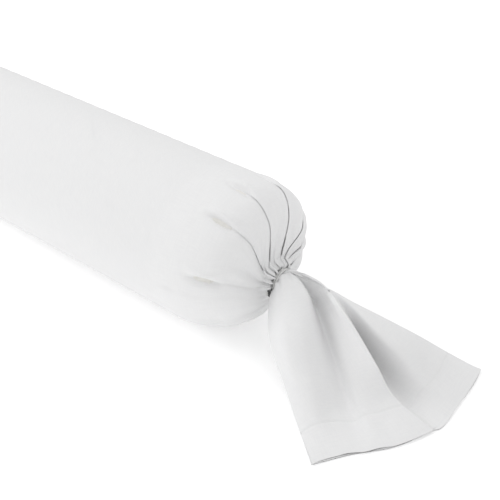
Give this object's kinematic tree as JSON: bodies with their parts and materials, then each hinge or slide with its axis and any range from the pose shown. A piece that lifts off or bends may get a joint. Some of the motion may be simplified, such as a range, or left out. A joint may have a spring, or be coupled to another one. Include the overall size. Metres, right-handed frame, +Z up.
{
  "type": "bolster pillow",
  "caption": "Long round bolster pillow in a cotton case, tied at each end so that the case flares out in a hemmed tail.",
  "frame": {"origin": "on the surface that the bolster rests on, under the middle of its length and of its width", "axes": "+X along the bolster towards its right end, +Y across it, +Z up"},
  "size_m": [1.3644, 0.264, 0.196],
  "materials": {
    "case_cloth": "plain woven white cotton, pressed",
    "ticking": "dense plain woven cotton",
    "elastic": "covered elastic cord of three strands",
    "knot": "dark cord knotted over the tie's ends",
    "wadding": "loose polyester wadding",
    "foam": "open-cell foam"
  },
  "bodies": {
    "bolster": {"foam_core": "foam", "wadding_wrap": "wadding", "ticking_tube": "ticking", "case_body": "case_cloth", "right_end_wadding": "wadding", "right_ticking_end": "ticking", "right_tie": "elastic", "right_tie_knot": "knot", "left_end_wadding": "wadding", "left_ticking_end": "ticking", "left_tie": "elastic", "left_tie_knot": "knot"},
    "right_bunch": {"right_tail_bunch": "case_cloth"},
    "right_flare": {"right_tail": "case_cloth", "right_tail_hem": "case_cloth"},
    "left_bunch": {"left_tail_bunch": "case_cloth"},
    "left_flare": {"left_tail": "case_cloth", "left_tail_hem": "case_cloth"}
  },
  "joints": [
    {"name": "right_tail_swing", "type": "hinge", "parent": "bolster", "child": "right_bunch", "pos_m": [0.4805, 0, 0.09], "axis": [0, 0, 1], "range_deg": [-35, 35]},
    {"name": "right_tail_lift", "type": "hinge", "parent": "right_bunch", "child": "right_flare", "pos_m": [0.4805, 0, 0.09], "axis": [0, -1, 0], "range_deg": [0, 65]},
    {"name": "left_tail_swing", "type": "hinge", "parent": "bolster", "child": "left_bunch", "pos_m": [-0.4805, 0, 0.09], "axis": [0, 0, 1], "range_deg": [-35, 35]},
    {"name": "left_tail_lift", "type": "hinge", "parent": "left_bunch", "child": "left_flare", "pos_m": [-0.4805, 0, 0.09], "axis": [0, 1, 0], "range_deg": [0, 65]}
  ]
}
